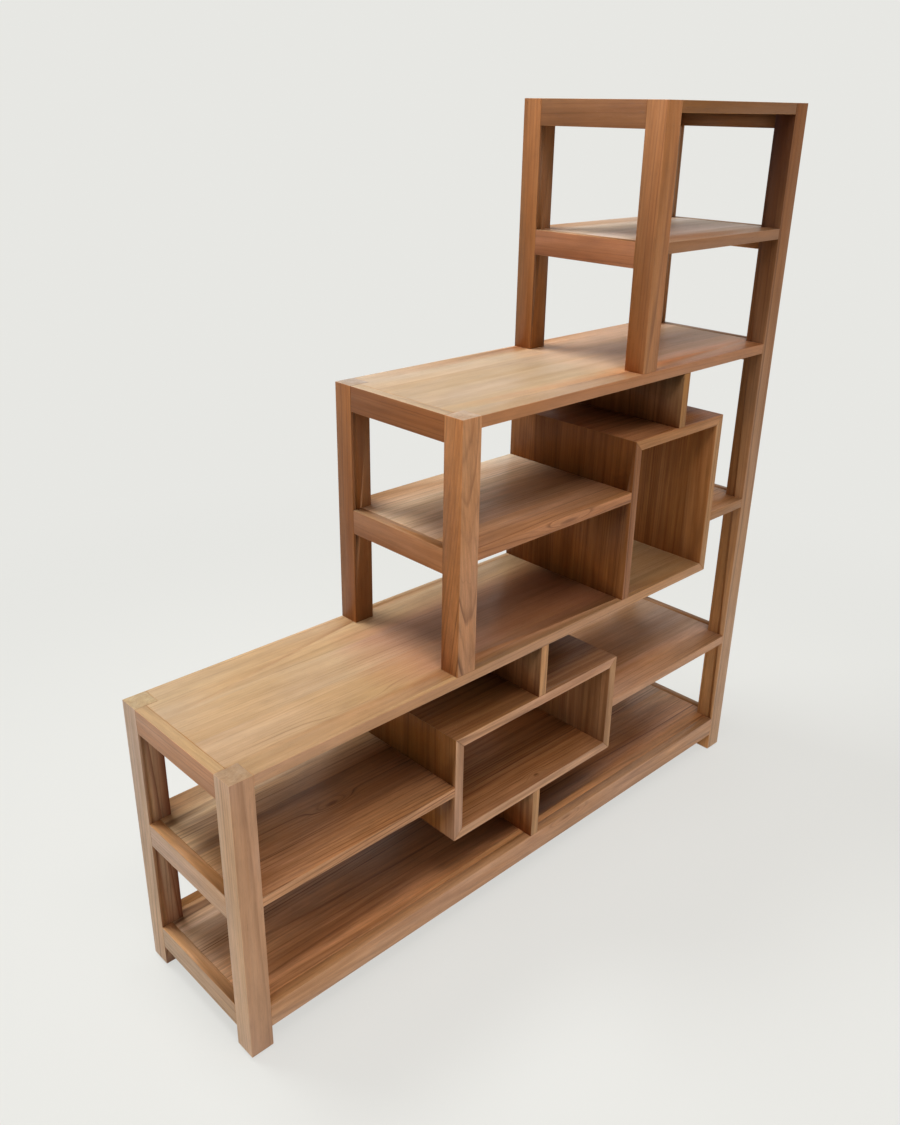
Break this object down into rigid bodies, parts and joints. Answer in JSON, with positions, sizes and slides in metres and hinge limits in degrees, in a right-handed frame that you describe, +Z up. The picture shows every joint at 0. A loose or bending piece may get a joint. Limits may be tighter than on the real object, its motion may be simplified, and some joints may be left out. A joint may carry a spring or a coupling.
{
  "type": "staircase bookshelf",
  "caption": "Open teak bookshelf that climbs in steps from left to right, with square posts, flat shelves, a wide low box and a tall box held between short dividers.",
  "frame": {"origin": "on the floor, under the middle of the bounding box", "axes": "+X along the length from the low end to the tall end, +Y from the front edge to the back edge, +Z up"},
  "size_m": [1.5, 0.35, 1.6],
  "materials": {
    "post_teak": "satin wax over planed teak, grain upright",
    "rail_teak": "satin wax over planed teak, grain along the rail",
    "board_teak": "satin wax over edge-glued teak, grain along the length",
    "panel_teak": "satin wax over edge-glued teak panels",
    "spline_teak": "unfinished teak, hidden in the joint"
  },
  "bodies": {
    "root": {"post_left_front": "post_teak", "post_left_back": "post_teak", "post_second_front": "post_teak", "post_second_back": "post_teak", "post_third_front": "post_teak", "post_third_back": "post_teak", "post_right_front": "post_teak", "post_right_back": "post_teak", "rail_left_top": "rail_teak", "rail_left_low": "rail_teak", "rail_left_bottom": "rail_teak", "rail_second_top": "rail_teak", "rail_second_middle": "rail_teak", "rail_third_top": "rail_teak", "rail_third_upper": "rail_teak", "rail_right_top": "rail_teak", "rail_right_upper": "rail_teak", "rail_right_second": "rail_teak", "rail_right_middle": "rail_teak", "rail_right_low": "rail_teak", "rail_right_bottom": "rail_teak", "rail_bottom_front": "rail_teak", "rail_bottom_back": "rail_teak", "bottom_shelf": "board_teak", "low_shelf_left": "board_teak", "low_shelf_right": "board_teak", "first_step_top": "board_teak", "middle_shelf_left": "board_teak", "middle_shelf_right": "board_teak", "second_step_top": "board_teak", "upper_shelf": "board_teak", "third_step_top": "board_teak", "low_box_left": "panel_teak", "low_box_right": "panel_teak", "low_box_top": "panel_teak", "low_box_bottom": "panel_teak", "tall_box_left": "panel_teak", "tall_box_right": "panel_teak", "tall_box_top": "panel_teak", "divider_under_low_box": "panel_teak", "divider_over_low_box": "panel_teak", "divider_over_tall_box": "panel_teak", "spline_low_box_top_left": "spline_teak", "spline_low_box_top_right": "spline_teak", "spline_low_box_bottom_left": "spline_teak", "spline_low_box_bottom_right": "spline_teak", "spline_tall_box_top_left": "spline_teak", "spline_tall_box_top_right": "spline_teak", "spline_tall_box_bottom_right": "spline_teak"}
  },
  "joints": []
}
